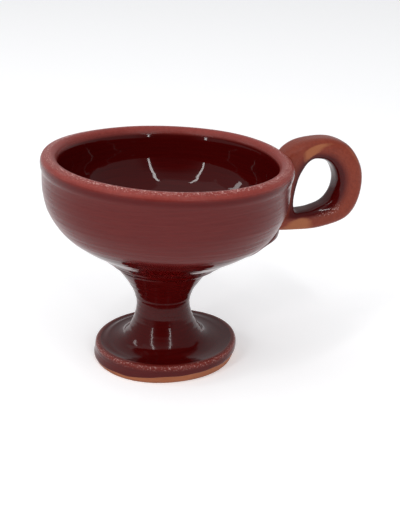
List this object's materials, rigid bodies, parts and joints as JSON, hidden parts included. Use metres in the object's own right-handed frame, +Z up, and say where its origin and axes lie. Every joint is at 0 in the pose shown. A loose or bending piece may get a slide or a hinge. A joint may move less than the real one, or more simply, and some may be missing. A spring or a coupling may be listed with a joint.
{
  "type": "footed pottery chalice",
  "caption": "Wheel-thrown earthenware chalice: shallow cup on a waisted pedestal with a disc foot and a thick ring handle, glazed dark red over bare red clay.",
  "frame": {"origin": "centre of the foot's resting ring, on the surface that the chalice stands on", "axes": "+Z up through the pedestal, +X towards the ring handle, +Y completes the right-handed set"},
  "size_m": [0.1467, 0.11, 0.0972],
  "materials": {
    "red_clay": "bare fired red earthenware, fine matte grain",
    "oxblood_glaze": "glossy dark oxblood red glaze, breaking to brick red on edges"
  },
  "bodies": {
    "root": {"pedestal": "red_clay", "bowl_body": "red_clay", "handle_strap": "red_clay", "upper_luting": "red_clay", "lower_luting": "red_clay", "join_slip": "red_clay", "liner_glaze": "oxblood_glaze", "bowl_glaze": "oxblood_glaze", "pedestal_glaze": "oxblood_glaze", "handle_glaze": "oxblood_glaze"}
  },
  "joints": []
}
